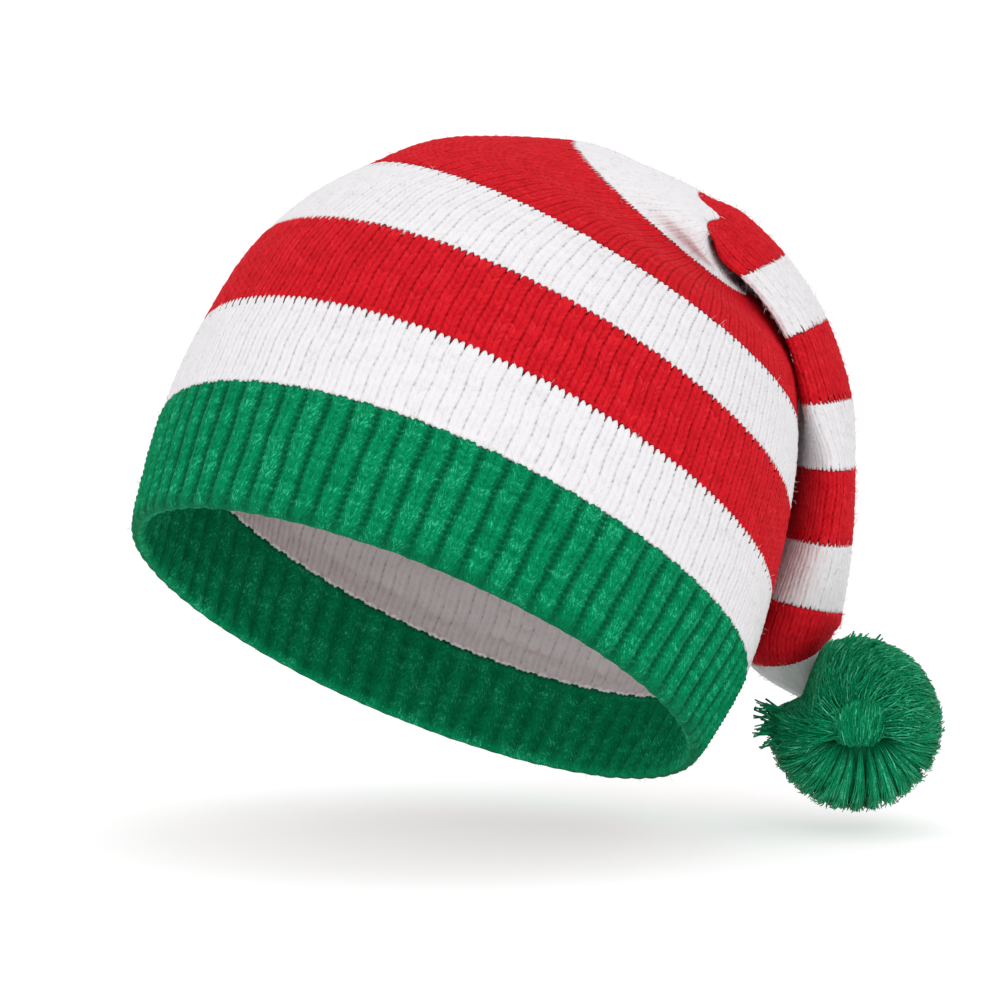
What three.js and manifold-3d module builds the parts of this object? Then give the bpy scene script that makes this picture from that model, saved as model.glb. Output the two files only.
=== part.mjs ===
import * as THREE from 'three';
import { mergeVertices } from 'three/addons/utils/BufferGeometryUtils.js';
import Module from 'manifold-3d';

// A knitted stocking hat: ribbed cuff, striped crown, folded tail and pompom.
// Millimetres, +Z up. The origin is the middle of the head opening.

const GAP = 0.3;
const CUFF_WALL = 4.4;
const CROWN_WALL = 3.0;
const TAIL_WALL = 2.2;
const RIB_COUNT = 74;
const RIB_RELIEF = 0.7;
const RIM_ROLL = 0.6;
const CROWN_SIDES = 56;
const TAIL_SIDES = 24;
const GATHER_FOLDS = 6;
const GATHER_DEPTH = 0.16;
const TIP_SHARES = [0, 0.35, 0.7, 1];

// One row for each section of the tube, counted in stripes from the rim.
// x, y, z: middle. tip: lean to the right, nod: lean to the back, in degrees.
// span: half size across the fold, depth: half size along it, curl: how far
// the front end of a flat section bends in towards the crown.
const SECTION_COLUMNS = ['at', 'x', 'y', 'z', 'tip', 'nod', 'span', 'depth', 'curl'];
const SECTION_ROWS = [
  [0, -0.5, 0, 0, 23, 21.5, 90, 85.5, 0],
  [1, 11, 13, 28, 25.5, 23, 95, 92, 0],
  [2, 20, 24, 50.5, 27, 22.5, 94.5, 92, 0],
  [3, 31.5, 34, 75.3, 28.8, 20.5, 90, 88, 0],
  [4, 48, 42, 99.5, 31, 15, 77, 76, 0],
  [4.5, 61, 45, 114.4, 33.5, 6, 64, 63, 0],
  [5, 78, 46, 123.3, 40, -6, 41, 44, 0],
  [5.5, 83.5, 46, 125.3, 50, -6, 21, 45, 2],
  [6, 87.5, 46, 129.4, 67, -5, 5, 43, 6.5],
  [6.5, 96.5, 47, 123.3, 119, -2, 5.2, 40, 10],
  [7, 107, 48, 113.6, 157, 0, 5.2, 37, 11],
  [8, 119.1, 50, 94, 160, 0, 6, 34, 8.4],
  [9, 124.9, 52, 71.5, 176, 0, 8, 32, 6],
  [10, 124.8, 53, 51, 181, 0, 9.2, 30, 0],
  [11, 122.5, 53, 28.5, 187, 0, 11, 28, 0],
  [12, 117.5, 53, 9, 193, 0, 13.5, 25, 0],
  [13, 114.5, 52, -5, 162, 0, 14, 21, 0],
  [14, 121.5, 44, -19, 150, -25, 3, 4, 0],
];

// Steps of the closed profile of a ring, as a share of its length and of its
// wall: up the outside, then down the inside.
const RING_STEPS = [[0, 0], [0.33, 0], [0.67, 0], [1, 0], [1, 1], [0.5, 1], [0, 1]];
const CUFF_STEPS = [[0.06, 0], [0.4, 0], [0.7, 0], [1, 0], [1, 1], [0.06, 1], [0, 0.5]];
const FOLD_SHARES = [0, 0.25, 0.5, 0.75, 1];
const FOLD_STEPS = [
  ...FOLD_SHARES.map((share) => [share, 0]),
  ...FOLD_SHARES.map((share) => [1 - share, 1]),
];

// Runs of yarn from the rim to the tip, one stripe each.
// sink: how far the inside lies below the outside amid the stripe, for a wall
// that lies nearly flat in its section.
const STRIPE_COLUMNS = ['name', 'yarn', 'wall', 'sides', 'steps', 'sink'];
const STRIPE_ROWS = [
  ['cuff', 'green', CUFF_WALL, 2 * RIB_COUNT, CUFF_STEPS, 0],
  ['crown_white_1', 'white', CROWN_WALL, CROWN_SIDES, RING_STEPS, 0],
  ['crown_red_1', 'red', CROWN_WALL, CROWN_SIDES, RING_STEPS, 0],
  ['crown_white_2', 'white', CROWN_WALL, CROWN_SIDES, RING_STEPS, 0],
  ['crown_red_2', 'red', CROWN_WALL, CROWN_SIDES, RING_STEPS, 0],
  ['crown_white_3', 'white', TAIL_WALL, CROWN_SIDES, FOLD_STEPS, TAIL_WALL],
  ['tail_red_1', 'red', TAIL_WALL, TAIL_SIDES, FOLD_STEPS, 0],
  ['tail_white_1', 'white', TAIL_WALL, TAIL_SIDES, RING_STEPS, 0],
  ['tail_red_2', 'red', TAIL_WALL, TAIL_SIDES, RING_STEPS, 0],
  ['tail_white_2', 'white', TAIL_WALL, TAIL_SIDES, RING_STEPS, 0],
  ['tail_red_3', 'red', TAIL_WALL, TAIL_SIDES, RING_STEPS, 0],
  ['tail_white_3', 'white', TAIL_WALL, TAIL_SIDES, RING_STEPS, 0],
  ['tail_red_4', 'red', TAIL_WALL, TAIL_SIDES, RING_STEPS, 0],
];

// The pompom: a round head, and locks that run from its front to its back.
// face: how far the front of the parting looks down, in degrees.
const POMPOM = { x: 132, y: 21, z: -25.4, head: 22, face: 7 };
// The side under the tail is pressed flat: where the flat starts, measured from
// the middle, how far it leans and how large the pressing block is.
const PRESS = { x: -15.5, z: 4, lean: 17, block: [40, 80, 40] };
const LOCK_SIDES = 6;
const LOCK_STEPS = 5;
// first, last: turn of the outer locks from straight up, start, end: angles
// from the front where each lock begins and stops.
const LOCK_COLUMNS = ['first', 'last', 'count', 'start', 'end', 'reach', 'thick'];
const LOCK_ROWS = [
  [-80, 80, 10, 14, 150, 26.5, 5],
  [100, 260, 12, 28, 150, 26.5, 4.2],
];

const YARNS = {
  green: new THREE.MeshStandardMaterial({ color: 0x079a58, roughness: 0.9, metalness: 0 }),
  white: new THREE.MeshStandardMaterial({ color: 0xf0edef, roughness: 0.9, metalness: 0 }),
  red: new THREE.MeshStandardMaterial({ color: 0xd4182a, roughness: 0.9, metalness: 0 }),
};

const named = (columns, rows) =>
  rows.map((row) => Object.fromEntries(columns.map((name, i) => [name, row[i]])));

const SECTIONS = named(SECTION_COLUMNS, SECTION_ROWS);
const STRIPES = named(STRIPE_COLUMNS, STRIPE_ROWS);
const LOCKS = named(LOCK_COLUMNS, LOCK_ROWS);

// Slope of one column at row i, weighted by the spacing of its neighbours.
function slope(column, i) {
  const here = SECTIONS[i];
  const before = SECTIONS[Math.max(i - 1, 0)];
  const after = SECTIONS[Math.min(i + 1, SECTIONS.length - 1)];
  const back = here.at - before.at;
  const ahead = after.at - here.at;
  if (back === 0) return (after[column] - here[column]) / ahead;
  if (ahead === 0) return (here[column] - before[column]) / back;
  const left = (here[column] - before[column]) / back;
  const right = (after[column] - here[column]) / ahead;
  return (left * ahead + right * back) / (back + ahead);
}

// The section of the tube at any distance, by a smooth curve through the rows.
function sectionAt(at) {
  let i = 0;
  while (i < SECTIONS.length - 2 && SECTIONS[i + 1].at <= at) i += 1;
  const low = SECTIONS[i];
  const high = SECTIONS[i + 1];
  const size = high.at - low.at;
  const t = (at - low.at) / size;
  const section = {};
  for (const column of SECTION_COLUMNS) {
    const rise = high[column] - low[column];
    const bendLow = slope(column, i) * size - rise;
    const bendHigh = rise - slope(column, i + 1) * size;
    const bend = t * (1 - t) * (bendLow * (1 - t) + bendHigh * t);
    section[column] = low[column] + rise * t + bend;
  }
  const tip = THREE.MathUtils.degToRad(section.tip);
  const nod = THREE.MathUtils.degToRad(section.nod);
  section.middle = new THREE.Vector3(section.x, section.y, section.z);
  section.right = new THREE.Vector3(Math.cos(tip), 0, -Math.sin(tip));
  section.along = new THREE.Vector3(
    Math.sin(tip) * Math.cos(nod), Math.sin(nod), Math.cos(tip) * Math.cos(nod));
  section.back = new THREE.Vector3().crossVectors(section.along, section.right);
  return section;
}

// A point of the wall: at an angle round the section, inset from the outside,
// shifted along the tube.
function wallPoint(section, angle, inset, shift) {
  const alongFold = (section.depth - inset) * Math.sin(angle);
  const bent = section.curl * (Math.min(alongFold, 0) / section.depth) ** 2;
  const across = (section.span - inset) * Math.cos(angle) + bent;
  return section.middle.clone()
    .addScaledVector(section.right, across)
    .addScaledVector(section.back, alongFold)
    .addScaledVector(section.along, shift);
}

// Triangles between neighbouring rows of points; each row closes on itself.
function skin(rows, closed) {
  const sides = rows[0].length;
  const positions = rows.flat().flatMap((point) => point.toArray());
  const index = [];
  const last = closed ? rows.length : rows.length - 1;
  for (let i = 0; i < last; i += 1) {
    const next = (i + 1) % rows.length;
    for (let j = 0; j < sides; j += 1) {
      const k = (j + 1) % sides;
      index.push(i * sides + j, i * sides + k, next * sides + j);
      index.push(i * sides + k, next * sides + k, next * sides + j);
    }
  }
  return { positions, index, sides, count: rows.length };
}

function toGeometry({ positions, index }) {
  const geometry = new THREE.BufferGeometry();
  geometry.setAttribute('position', new THREE.Float32BufferAttribute(positions, 3));
  geometry.setIndex(index);
  geometry.computeVertexNormals();
  return geometry;
}

function ring(stripe, start) {
  const ribbed = stripe.name === 'cuff';
  const rows = stripe.steps.map(([share, inward]) => {
    const section = sectionAt(start + share);
    let shift = 0;
    if (share === 0) shift = ribbed ? -RIM_ROLL : GAP / 2;
    if (share === 1) shift = -GAP / 2;
    shift -= stripe.sink * inward * (1 - (2 * share - 1) ** 4);
    const row = [];
    for (let j = 0; j < stripe.sides; j += 1) {
      const angle = (2 * Math.PI * j) / stripe.sides;
      const relief = ribbed && share > 0 ? RIB_RELIEF * (j % 2 ? 1 : -1) : 0;
      row.push(wallPoint(section, angle, stripe.wall * inward + relief, shift));
    }
    return row;
  });
  return toGeometry(skin(rows, true));
}

// Fans of triangles that close the first and the last row of a skin.
function capped(shell, first, last) {
  const hub = shell.positions.length / 3;
  const lastRow = (shell.count - 1) * shell.sides;
  shell.positions.push(...first.toArray(), ...last.toArray());
  for (let j = 0; j < shell.sides; j += 1) {
    const k = (j + 1) % shell.sides;
    shell.index.push(k, j, hub);
    shell.index.push(lastRow + j, lastRow + k, hub + 1);
  }
  return shell;
}

// A row of points of the gathered end, pleated more towards the tip.
function tipRow(start, share, inset, shift) {
  const section = sectionAt(start + share);
  const points = [];
  for (let j = 0; j < TAIL_SIDES; j += 1) {
    const angle = (2 * Math.PI * j) / TAIL_SIDES;
    const pleat = share * GATHER_DEPTH * section.span * Math.cos(GATHER_FOLDS * angle);
    points.push(wallPoint(section, angle, inset + pleat, shift));
  }
  return points;
}

// The gathered end of the tail: a cup, open towards the stripe before it.
function cup(start) {
  const mouth = GAP / 2;
  const inside = TIP_SHARES.slice(0, -1).reverse()
    .map((share) => tipRow(start, share, TAIL_WALL, share ? 0 : mouth));
  const outside = TIP_SHARES.map((share) => tipRow(start, share, 0, share ? 0 : mouth));
  const floor = sectionAt(start + 0.88).middle;
  const tip = sectionAt(start + 1).middle;
  return toGeometry(capped(skin([...inside, ...outside], false), floor, tip));
}

// The gathered end as a full body grown by the gap, to press its seat.
function tipSeat(start) {
  const grow = 2 * GAP;
  const rows = TIP_SHARES.map((share) => tipRow(start, share, -grow, share === 1 ? grow : 0));
  const end = sectionAt(start + 1);
  const tip = end.middle.clone().addScaledVector(end.along, grow);
  return toSolid(toGeometry(capped(skin(rows, false), sectionAt(start).middle, tip)));
}

const wasm = await Module();
wasm.setup();

function toSolid(geometry) {
  geometry.deleteAttribute('normal');
  geometry.deleteAttribute('uv');
  const merged = mergeVertices(geometry);
  return new wasm.Manifold(new wasm.Mesh({
    numProp: 3,
    vertProperties: new Float32Array(merged.getAttribute('position').array),
    triVerts: new Uint32Array(merged.index.array),
  }));
}

// One lock: a bent tapered roll along a meridian of the head.
function lockGeometry(lock, turn) {
  const face = THREE.MathUtils.degToRad(POMPOM.face);
  const front = new THREE.Vector3(0, -Math.cos(face), -Math.sin(face));
  const out = new THREE.Vector3(0, -Math.sin(face), Math.cos(face)).applyAxisAngle(front, turn);
  const side = new THREE.Vector3().crossVectors(out, front);
  const rows = [];
  const ends = [];
  for (let i = 0; i <= LOCK_STEPS; i += 1) {
    const share = i / LOCK_STEPS;
    const polar = THREE.MathUtils.degToRad(lock.start + (lock.end - lock.start) * share);
    const thick = lock.thick * Math.sqrt(Math.sin(Math.PI * (0.12 + 0.76 * share)));
    const way = front.clone().multiplyScalar(Math.cos(polar)).addScaledVector(out, Math.sin(polar));
    const middle = way.clone().multiplyScalar(lock.reach - thick);
    const row = [];
    for (let j = 0; j < LOCK_SIDES; j += 1) {
      const angle = (2 * Math.PI * j) / LOCK_SIDES;
      row.push(middle.clone()
        .addScaledVector(way, thick * Math.cos(angle))
        .addScaledVector(side, thick * Math.sin(angle)));
    }
    rows.push(row);
    ends.push(middle);
  }
  return toGeometry(capped(skin(rows, false), ends[0], ends[LOCK_STEPS]));
}

// Cut yarn in locks, fused to the head and pressed flat under the tail.
function pompomSolid() {
  let body = toSolid(new THREE.SphereGeometry(POMPOM.head, 16, 10));
  for (const lock of LOCKS) {
    for (let i = 0; i < lock.count; i += 1) {
      const turn = lock.first + ((lock.last - lock.first) * i) / (lock.count - 1);
      body = body.add(toSolid(lockGeometry(lock, THREE.MathUtils.degToRad(turn))));
    }
  }
  const [width, depth, height] = PRESS.block;
  const block = wasm.Manifold.cube([width, depth, height])
    .translate([-width, -depth / 2, 0])
    .rotate([0, PRESS.lean, 0])
    .translate([PRESS.x, 0, PRESS.z]);
  return body.subtract(block).translate([POMPOM.x, POMPOM.y, POMPOM.z]);
}

function fromSolid(solid) {
  const mesh = solid.getMesh();
  const positions = [];
  for (let i = 0; i < mesh.vertProperties.length; i += mesh.numProp) {
    positions.push(...mesh.vertProperties.slice(i, i + 3));
  }
  return toGeometry({ positions, index: Array.from(mesh.triVerts) });
}

const hat = new THREE.Group();

function addPiece(name, geometry, yarn) {
  const mesh = new THREE.Mesh(geometry, YARNS[yarn]);
  mesh.name = name;
  hat.add(mesh);
}

STRIPES.forEach((stripe, start) => addPiece(stripe.name, ring(stripe, start), stripe.yarn));
addPiece('tail_white_tip', cup(STRIPES.length), 'white');
addPiece('pompom', fromSolid(pompomSolid().subtract(tipSeat(STRIPES.length))), 'green');

export default hat;
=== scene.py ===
import math
import bpy
import numpy as np
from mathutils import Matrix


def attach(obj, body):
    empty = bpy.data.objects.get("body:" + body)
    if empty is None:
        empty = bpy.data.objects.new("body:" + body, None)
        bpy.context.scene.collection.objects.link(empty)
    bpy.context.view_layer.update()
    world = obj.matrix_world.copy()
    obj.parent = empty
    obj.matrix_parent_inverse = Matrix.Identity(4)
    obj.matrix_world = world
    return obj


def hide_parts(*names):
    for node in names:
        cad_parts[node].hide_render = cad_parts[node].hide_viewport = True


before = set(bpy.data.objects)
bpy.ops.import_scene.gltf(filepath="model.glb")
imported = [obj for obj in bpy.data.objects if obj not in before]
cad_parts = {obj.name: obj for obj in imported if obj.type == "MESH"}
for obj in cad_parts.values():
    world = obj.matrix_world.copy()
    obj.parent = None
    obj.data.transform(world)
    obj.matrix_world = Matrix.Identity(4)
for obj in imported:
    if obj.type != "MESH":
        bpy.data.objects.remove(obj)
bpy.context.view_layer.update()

# A knitted stocking hat. Sizes are in millimetres and become metres where objects are made.
MM = 0.001
TINY = 1e-9
BAKE_MAP = "OFBake"

# Sections of the knitted tube, counted in stripes from the rim. x, y, z: middle. tip: lean to the right.
# nod: lean to the back. span: half size across the fold. depth: half size along it.
# curl: how far the front end of a flat section bends in towards the crown.
SECTION_COLUMNS = ("at", "x", "y", "z", "tip", "nod", "span", "depth", "curl")
SECTION_ROWS = np.array([
    [0, -0.5, 0, 0, 23, 21.5, 90, 85.5, 0],
    [1, 11, 13, 28, 25.5, 23, 95, 92, 0],
    [2, 20, 24, 50.5, 27, 22.5, 94.5, 92, 0],
    [3, 31.5, 34, 75.3, 28.8, 20.5, 90, 88, 0],
    [4, 48, 42, 99.5, 31, 15, 77, 76, 0],
    [4.5, 61, 45, 114.4, 33.5, 6, 64, 63, 0],
    [5, 78, 46, 123.3, 40, -6, 41, 44, 0],
    [5.5, 83.5, 46, 125.3, 50, -6, 21, 45, 2],
    [6, 87.5, 46, 129.4, 67, -5, 5, 43, 6.5],
    [6.5, 96.5, 47, 123.3, 119, -2, 5.2, 40, 10],
    [7, 107, 48, 113.6, 157, 0, 5.2, 37, 11],
    [8, 119.1, 50, 94, 160, 0, 6, 34, 8.4],
    [9, 124.9, 52, 71.5, 176, 0, 8, 32, 6.6],
    [10, 124.8, 53, 51, 181, 0, 9.2, 30, 0],
    [11, 122.5, 53, 28.5, 187, 0, 11, 28, 0],
    [12, 117.5, 53, 9, 193, 0, 13.5, 25, 0],
    [13, 114.5, 52, -5, 162, 0, 14, 21, 0],
    [14, 121.5, 44, -19, 150, -25, 3, 4, 0],
], float)

# Stripes above the cuff, from the rim to the tip. wales: columns of stitches round the stripe.
# columns: mesh columns in a wale. inner: mesh rows to a course on the inside, where it shows.
# sink: how far the inside lies below the outside amid the stripe.
# teeth: share of the full height of the teeth at the upper edge.
STRIPE_COLUMNS = ("name", "yarn", "wall", "wales", "columns", "inner", "sink")
STRIPE_ROWS = [
    ("crown_white_1", "white", 3.0, 132, 8, 2, 0),
    ("crown_red_1", "red", 3.0, 132, 8, 0, 0),
    ("crown_white_2", "white", 3.0, 128, 8, 0, 0),
    ("crown_red_2", "red", 3.0, 112, 8, 0, 0),
    ("crown_white_3", "white", 2.2, 80, 8, 0, 2.2),
    ("tail_red_1", "red", 2.2, 56, 6, 0, 0),
    ("tail_white_1", "white", 2.2, 48, 6, 0, 0),
    ("tail_red_2", "red", 2.2, 44, 6, 0, 0),
    ("tail_white_2", "white", 2.2, 44, 6, 0, 0),
    ("tail_red_3", "red", 2.2, 42, 6, 0, 0),
    ("tail_white_3", "white", 2.2, 42, 6, 0, 0),
    ("tail_red_4", "red", 2.2, 40, 6, 0, 0),
    ("tail_white_tip", "white", 2.2, 36, 6, 0, 0),
]
STRIPES = [dict(zip(STRIPE_COLUMNS, row), teeth=1.0) for row in STRIPE_ROWS]

# Where a stripe's upper edge swells on: share of the girth, width of the swell in the same measure,
# height as a share of the stripe's length.
EDGE_SWELLS = {
    "crown_red_2": (0.93, 0.055, 0.28),
    "crown_white_3": (0.66, 0.045, 0.27),
    "tail_red_4": (0.72, 0.14, 0.38),
}
NO_SWELL = (0.0, 1.0, 0.0)

# Courses of stitches. The nudge keeps a course's own number where it starts.
COURSE_PITCH = 2.05
FEWEST_COURSES = 6
COURSE_NUDGE = 1e-6
ROWS_IN_COURSE = 2
PLAIN_INNER_ROWS = 4
CHEVRON = 0.9
STRIPE_GAP = 0.08
SINK_FLATNESS = 4
STITCH_UNEVEN = 0.06
# Painted shade of the knit: its brightness at the mean height, on a scale from 0 to 1.
RELIEF_MIDDLE = 0.75
LENGTH_ROWS = 13
LENGTH_COLUMNS = 24

# The two legs of a stitch: profile across the wale, height between stitches, mean height and slant.
LEG_RELIEF = 0.6
LEG_START = 0.08
LEG_SPREAD = 0.86
LEG_FULLNESS = 0.7
LEG_LOW = 0.55
LEG_MEAN = 0.6
LEG_SLANT = 0.35
FIBRE_STRETCH = 4.0

# Gaps between the wales, and the slits in which they end at a stripe's upper edge.
PIT_DEPTH = 0.42
GAP_PLACE = 0.99
GAP_SIZES = (0.15, 1.0)
GAP_CLOSING = 0.5
SLIT_DEPTH = 0.7
SLIT_GAP_SHADE = 1.2
SLIT_SIZES = (0.55, 1.0)
SLIT_REACH = 0.6
SLIT_START = 0.6

# Wales wander from side to side: share of a wale, turns in a stripe and turns round it.
WALE_WANDER = 0.05
WANDER_ALONG = 1.7
WANDER_ROUND = 5

# Courses over which the inside falls flush with the cuff. Wales narrower than a full one lie flatter.
FLUSH_COURSES = 4.0
FULL_WALE = 3.5
FLAT_WALE = 0.3

# Pleats of the gathered tip.
GATHER_FOLDS = 6
GATHER_DEPTH = 0.16

# Edge of a stripe across one wale: how far it reaches up, as a share of the stripe's length,
# from the middle of the wale to its edge.
EDGE_PLACES = (0.0, 0.33, 0.67, 1.0)
EDGE_TEETH = (-0.008, 0.028, 0.036, -0.036)

# The cuff, its folded lower edge and its ribs.
CUFF_WALL = 4.4
CUFF_WALES = 148
CUFF_FOLD_START = 0.06
CUFF_FOLD_ROWS = 5
CUFF_MAP_BANDS = 3
RIB_COUNT = 74
RIB_PITCH = 7.8
RIB_START = 0.25
RIB_MESH_COLUMNS = 8
RIB_COURSES = 18
RIB_CHEVRON = 0.72
RIB_HEIGHT = 0.8
RIB_MEAN = 0.15
RIB_SHARPNESS = 1.3
RIB_UNEVEN = 0.05
RIB_LEG_RELIEF = 0.4
RIB_LEG_START = 0.25
RIB_LEG_LOW = 0.4
RUNG_RELIEF = 0.55
# Courses over which the ribs flatten at the upper edge and at the fold, and their height there.
RIB_TOP_COURSES = 1.5
RIB_AT_TOP = 0.5
RIB_FOLD_COURSES = 2
RIB_AT_FOLD = 0.45
# Ribs sway from side to side: share of a rib, half turns of two waves, and size of the second wave.
RIB_WANDER = 0.03
SWAY_TURNS = (2.2, 5.1)
SECOND_SWAY = 0.6
# Painted light and shade across a rib, from its middle to the groove: painted highlights on its two legs,
# painted shade in its middle.
RIB_PLACES = (0.0, 0.25, 0.5, 1.0)
RIB_SHINES = (-0.3, 0.1, 0.3, 0.0)
# Painted light on the rungs in the grooves, and on the inside of the cuff.
RUNG_PAINTED_LIGHT = 0.2
INNER_PAINTED_LIGHT = 0.6
CUFF = {
    "name": "cuff",
    "wales": CUFF_WALES,
    "columns": RIB_COUNT * RIB_MESH_COLUMNS // CUFF_WALES,
    "teeth": 0.4,
}

# Loose fibres: how far they run along the yarn, stand off it, scatter, bend and arch.
FUZZ_COUNT = 620
CUFF_FUZZ_COUNT = 2400
FUZZ_LENGTHS = (1.0, 3.0)
FUZZ_RADIUS = 0.05
FUZZ_TAPER = (1.0, 0.8, 0.3)
FUZZ_TONES = (0.4, 1.0)
FUZZ_ALONG = 0.9
FUZZ_STAND = (0.1, 0.75)
FUZZ_SCATTER = 0.4
FUZZ_ROOT_DEPTH = 0.2
FUZZ_MIDDLE = 0.55
FUZZ_BEND = 0.2
FUZZ_MIDDLE_BEND = 0.6
FUZZ_END_BEND = 0.1
FUZZ_ARCH = 0.15
# In the map the knit ends a little below the strip of the loose fibres.
KNIT_MAP_TOP = 0.98
FUZZ_STRIP = 0.985

POMPOM_MIDDLE = np.array([132.0, 21.0, -25.4])
POMPOM_RADIUS = 26.5
POMPOM_CORE = 20.5
# The side under the tail is pressed flat: where the flat starts, from the middle, and how far it leans.
PRESS_X = -15.5
PRESS_Z = 1.0
PRESS_LEAN = math.radians(17.0)
PRESS_LEFT = 0.15
PRESS_EASE = 6.0
PARTING_SPREAD = 0.42

FLOOR_HEIGHT = -57.0
CAMERA_TARGET = (25.4, 0.0, 43.5)
CAMERA_DISTANCE = 1200.0
CAMERA_ELEVATION = 4.0
CAMERA_LENS = 146.88
CAMERA_SENSOR = 36
CAMERA_CLIP = 50000.0


# Loft of the tube

def section_slopes():
    """Slope of every column at every section, weighted by the spacing of its neighbours."""
    steps = np.diff(SECTION_ROWS[:, :1], axis=0)
    rises = np.diff(SECTION_ROWS, axis=0) / steps
    slopes = np.empty_like(SECTION_ROWS)
    slopes[0] = rises[0]
    slopes[-1] = rises[-1]
    back = steps[:-1]
    ahead = steps[1:]
    slopes[1:-1] = (rises[:-1] * ahead + rises[1:] * back) / (back + ahead)
    return slopes


SECTION_SLOPES = section_slopes()


def sections(at):
    """The section of the tube at each distance, as named arrays."""
    found = np.searchsorted(SECTION_ROWS[:, 0], at, side="right") - 1
    i = np.clip(found, 0, len(SECTION_ROWS) - 2)
    low = SECTION_ROWS[i]
    rise = SECTION_ROWS[i + 1] - low
    size = rise[..., :1]
    t = (at[..., None] - low[..., :1]) / size
    bend_low = SECTION_SLOPES[i] * size - rise
    bend_high = rise - SECTION_SLOPES[i + 1] * size
    values = low + rise * t + t * (1 - t) * (bend_low * (1 - t) + bend_high * t)
    return dict(zip(SECTION_COLUMNS, np.moveaxis(values, -1, 0)))


TURN_STEPS = 720
TURN_ROWS_PER_STRIPE = 8
TURN_MARGIN = 0.001
LEAST_HALF_SIZE = 1


def turn_table():
    """Angle round the section for an even share of its girth, for rows of sections along the tube."""
    rows = np.arange((len(STRIPES) + 1) * TURN_ROWS_PER_STRIPE + 1) / TURN_ROWS_PER_STRIPE
    size = sections(rows)
    angle = np.linspace(0, 2 * np.pi, TURN_STEPS + 1)
    middle = (angle[1:] + angle[:-1]) / 2
    span = np.maximum(size["span"], LEAST_HALF_SIZE)[:, None]
    depth = np.maximum(size["depth"], LEAST_HALF_SIZE)[:, None]
    arcs = np.hypot(span * np.sin(middle), depth * np.cos(middle))
    girth = np.concatenate([np.zeros((len(rows), 1)), np.cumsum(arcs, 1)], 1)
    even = np.linspace(0, 1, TURN_STEPS + 1)
    return np.stack([np.interp(even, row / row[-1], angle) for row in girth])


TURNS = turn_table()


def turn_at(at, share):
    """Angle round the section at a share of its girth, by straight steps in the table of turns."""
    row = np.clip(at * TURN_ROWS_PER_STRIPE, 0, len(TURNS) - 1 - TURN_MARGIN)
    whole = np.floor(share)
    column = (share - whole) * TURN_STEPS
    i = row.astype(int)
    j = np.minimum(column.astype(int), TURN_STEPS - 1)
    a = row - i
    b = column - j
    low = TURNS[i, j] * (1 - b) + TURNS[i, j + 1] * b
    high = TURNS[i + 1, j] * (1 - b) + TURNS[i + 1, j + 1] * b
    return low * (1 - a) + high * a + whole * 2 * np.pi


def wall_points(at, share, inset, shift):
    """Points of the wall at a share of the girth, inset from the outside, shifted along the tube."""
    size = sections(at)
    angle = turn_at(at, share)
    tip = np.radians(size["tip"])
    nod = np.radians(size["nod"])
    right = np.stack([np.cos(tip), np.zeros_like(tip), -np.sin(tip)], -1)
    along = np.stack([np.sin(tip) * np.cos(nod), np.sin(nod), np.cos(tip) * np.cos(nod)], -1)
    back = np.cross(along, right)
    deep = (size["depth"] - inset) * np.sin(angle)
    bent = size["curl"] * (np.minimum(deep, 0) / size["depth"]) ** 2
    across = (size["span"] - inset) * np.cos(angle) + bent
    middle = np.stack([size["x"], size["y"], size["z"]], -1)
    offset = right * across[..., None] + back * deep[..., None]
    return middle + offset + along * np.asarray(shift)[..., None]


def unit(vectors):
    """The vectors at length one."""
    return vectors / np.maximum(np.linalg.norm(vectors, axis=-1, keepdims=True), TINY)


def grid_normals(points):
    """Outward normals of a grid that closes on itself both ways."""
    around = np.roll(points, -1, 1) - np.roll(points, 1, 1)
    onward = np.roll(points, -1, 0) - np.roll(points, 1, 0)
    return unit(np.cross(around, onward))


# Patches: points, faces, map places and yarn values that become one mesh

BAND_FILL = 0.98
TUBE_SIDES = 3
HELPER_NUDGE = np.array([0.01, 0.02, 0.03])
# Cell of the map for one tube: its sides stand beside each other, with its two ends to their right.
CELL_LOW = 0.05
CELL_HEIGHT = 0.9
SIDE_WIDTH = 0.28
END_CORNERS = ((0.86, 0.0), (0.96, 0.0), (0.91, 0.3))
END_RISES = (0.1, 0.6)


class Patch:
    """Part of a mesh: points, quads and triangles with their map places, and values at the points."""

    def __init__(self, points, quads, quad_map, values, triangles=None, triangle_map=None):
        self.points = points
        self.quads = quads
        self.quad_map = quad_map
        self.values = values
        self.triangles = np.zeros((0, 3), int) if triangles is None else triangles
        self.triangle_map = np.zeros((0, 3, 2)) if triangle_map is None else triangle_map


def grid_patch(points, values, bands, map_top):
    """A grid closed both ways. Its map is cut into bands of columns that lie above each other."""
    rows, columns = points.shape[:2]
    i, j = np.meshgrid(np.arange(rows), np.arange(columns), indexing="ij")
    next_i = (i + 1) % rows
    next_j = (j + 1) % columns
    low_row = i * columns
    high_row = next_i * columns
    quads = np.stack([low_row + j, low_row + next_j, high_row + next_j, high_row + j], -1)
    width = math.ceil(columns / bands)
    band = j // width
    left = (j % width) / width
    right = (j % width + 1) / width
    low = (band + BAND_FILL * i / rows) / bands * map_top
    high = (band + BAND_FILL * (i + 1) / rows) / bands * map_top
    corners = [(left, low), (right, low), (right, high), (left, high)]
    quad_map = np.stack([np.stack(corner, -1) for corner in corners], 2)
    flat_values = {}
    for name, value in values.items():
        spread = np.broadcast_to(value, (rows, columns) + value.shape[2:])
        flat_values[name] = spread.reshape((-1,) + value.shape[2:])
    return Patch(points.reshape(-1, 3), quads.reshape(-1, 4), quad_map.reshape(-1, 4, 2), flat_values)


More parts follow.
